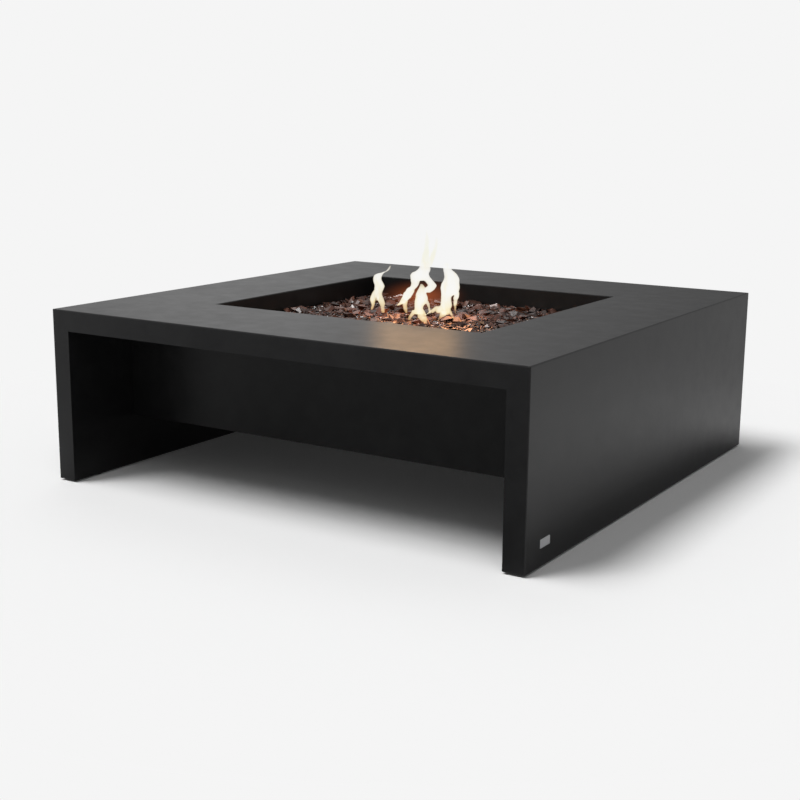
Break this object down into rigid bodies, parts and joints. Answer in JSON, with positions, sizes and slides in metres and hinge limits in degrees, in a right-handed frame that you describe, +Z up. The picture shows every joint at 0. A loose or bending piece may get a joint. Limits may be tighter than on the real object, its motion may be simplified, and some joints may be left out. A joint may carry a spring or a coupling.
{
  "type": "gas fire pit table",
  "caption": "Low square concrete fire table: a cast arch with a sunken tray of loose stones over a ring gas burner, recessed aprons and a rear valve knob and igniter.",
  "frame": {"origin": "on the floor under the middle of the table", "axes": "+Z up from the floor, -Y towards the plain front, +Y towards the rear apron that carries the controls, legs at -X and +X"},
  "size_m": [1.27, 1.27, 0.42],
  "materials": {
    "concrete": "matte",
    "steel": "satin",
    "dark_steel": "matte",
    "zinc": "satin",
    "brass": "satin",
    "copper": "satin",
    "rubber": "matte",
    "black_plastic": "satin",
    "lead_sleeve": "satin",
    "ceramic": "satin",
    "gasket": "matte",
    "stones": "gloss"
  },
  "bodies": {
    "table": {"concrete_body": "concrete", "front_apron": "concrete", "rear_apron": "concrete", "apron_cleats": "zinc", "cleat_screws": "zinc", "foot_pads": "rubber", "support_frame": "dark_steel", "frame_bolts": "zinc", "tray_gasket": "gasket", "burner_tray": "steel", "burner_ring": "steel", "burner_stand": "steel", "burner_locknut": "brass", "heat_shield": "steel", "shield_studs": "zinc", "shield_nuts": "zinc", "gas_elbow": "brass", "air_mixer": "brass", "gas_jet": "brass", "supply_tube": "copper", "inlet_tube": "copper", "tube_nuts": "brass", "inlet_fitting": "brass", "inlet_nut": "brass", "valve_body": "brass", "panel_nut": "zinc", "knob_bezel": "steel", "magnet_unit": "steel", "igniter_body": "black_plastic", "igniter_nut": "zinc", "ignition_lead": "lead_sleeve", "spark_electrode": "ceramic", "thermocouple": "copper", "thermo_lead": "copper", "sensor_bracket": "steel", "sensor_hood": "steel", "stone_bed": "stones", "top_stones": "stones"},
    "valve_push": {"push_rod": "steel"},
    "knob": {"valve_stem": "steel", "control_knob": "black_plastic"},
    "igniter_press": {"igniter_button": "steel"}
  },
  "joints": [
    {"name": "knob_push", "type": "slide", "parent": "table", "child": "valve_push", "axis": [0, -1, 0], "range_m": [0, 0.005], "stiffness_N_per_m": 600},
    {"name": "knob_turn", "type": "hinge", "parent": "valve_push", "child": "knob", "pos_m": [-0.055, 0.425, 0.2125], "axis": [0, 1, 0], "range_deg": [0, 180]},
    {"name": "igniter_push", "type": "slide", "parent": "table", "child": "igniter_press", "axis": [0, -1, 0], "range_m": [0, 0.004], "stiffness_N_per_m": 800}
  ]
}
